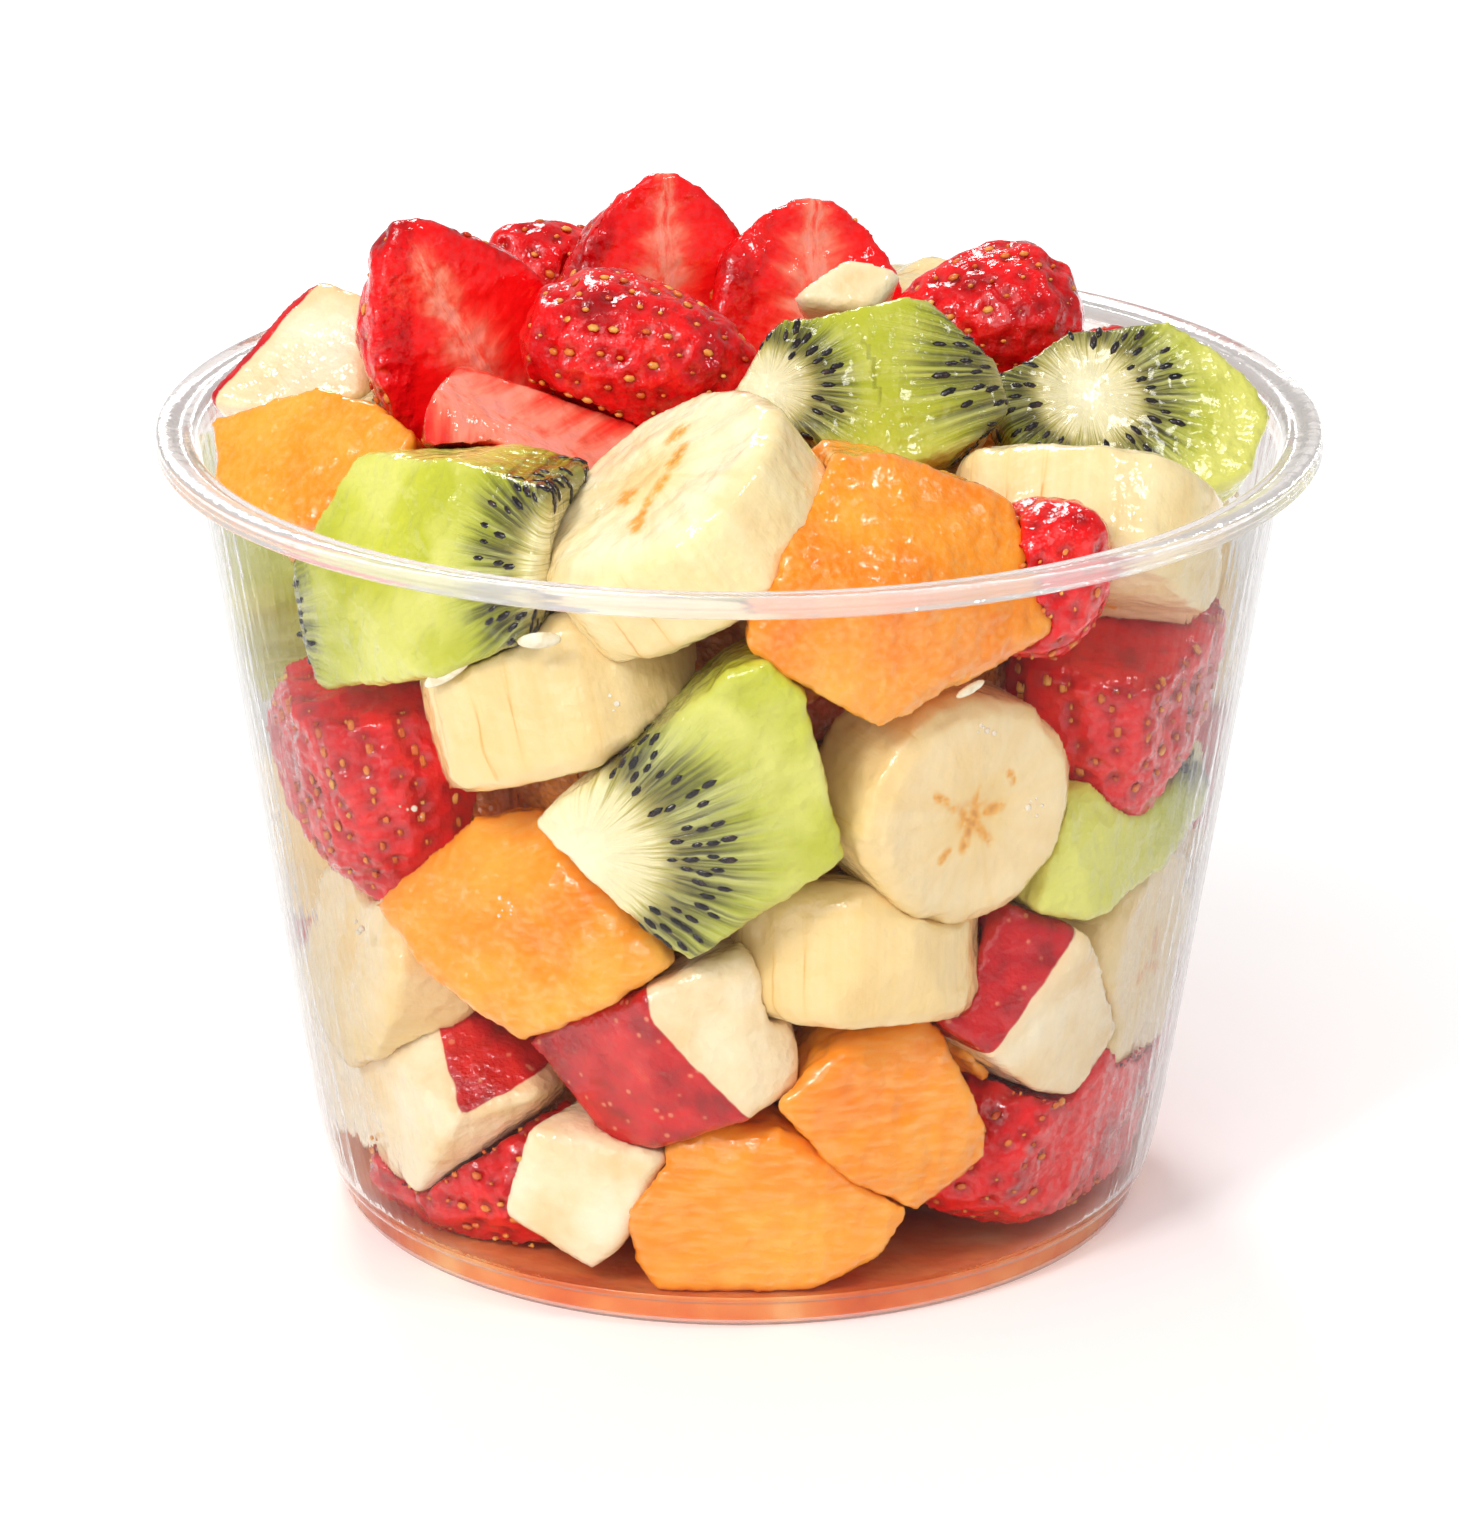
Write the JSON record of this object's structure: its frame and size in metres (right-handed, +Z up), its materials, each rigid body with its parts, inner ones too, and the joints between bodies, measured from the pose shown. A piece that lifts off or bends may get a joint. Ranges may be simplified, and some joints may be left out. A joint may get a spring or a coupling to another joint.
{
  "type": "fruit cup",
  "caption": "Clear round plastic cup with a rolled lip and stepped foot, heaped with cut strawberry, kiwi, banana, orange melon and apple over a little pooled juice.",
  "frame": {"origin": "centre of the cup's foot, on the table", "axes": "+Z up; -Y is the front of the heap; +X to its right"},
  "size_m": [0.117, 0.117, 0.1041],
  "materials": {
    "clear_cup": "clear thin thermoformed plastic, glossy",
    "juice": "wet pinkish orange fruit juice",
    "strawberry": "wet red skin with small golden seeds, paler red cut flesh with a pink heart",
    "kiwi": "wet green flesh with pale streaks, a cream heart and small black seeds",
    "banana": "moist cream flesh, ridged at the sides, with brown marks at the middle of the cut face",
    "melon": "wet orange fibrous flesh",
    "apple": "moist cream flesh with glossy red skin on one face",
    "fruit_core": "mixed wet fruit seen only in the gaps"
  },
  "bodies": {
    "root": {"apple_back_15": "apple", "apple_back_21": "apple", "apple_back_32": "apple", "apple_back_top_4": "apple", "apple_front": "apple", "apple_left": "apple", "apple_peeled": "apple", "apple_right": "apple", "apple_sliver": "apple", "apple_top_left": "apple", "banana_back_14": "banana", "banana_back_25": "banana", "banana_back_31": "banana", "banana_back_top_2": "banana", "banana_far_left": "banana", "banana_far_right": "banana", "banana_front": "banana", "banana_left_side": "banana", "banana_low_front": "banana", "banana_top_front": "banana", "banana_top_right": "banana", "cup": "clear_cup", "fruit_core": "fruit_core", "juice": "juice", "kiwi_back_13": "kiwi", "kiwi_back_24": "kiwi", "kiwi_back_35": "kiwi", "kiwi_back_top_5": "kiwi", "kiwi_front": "kiwi", "kiwi_left": "kiwi", "kiwi_right": "kiwi", "kiwi_top_centre": "kiwi", "kiwi_top_right": "kiwi", "melon_back_12": "melon", "melon_back_23": "melon", "melon_back_34": "melon", "melon_back_top_3": "melon", "melon_bottom": "melon", "melon_front_left": "melon", "melon_low_right": "melon", "melon_right": "melon", "melon_sliver": "melon", "melon_top_left": "melon", "strawberry_back_11": "strawberry", "strawberry_back_22": "strawberry", "strawberry_back_33": "strawberry", "strawberry_back_left": "strawberry", "strawberry_back_top_1": "strawberry", "strawberry_half_centre": "strawberry", "strawberry_half_left": "strawberry", "strawberry_half_right": "strawberry", "strawberry_left": "strawberry", "strawberry_low_left": "strawberry", "strawberry_low_right": "strawberry", "strawberry_right": "strawberry", "strawberry_rim_right": "strawberry", "strawberry_wedge": "strawberry", "strawberry_whole_centre": "strawberry", "strawberry_whole_right": "strawberry"}
  },
  "joints": []
}
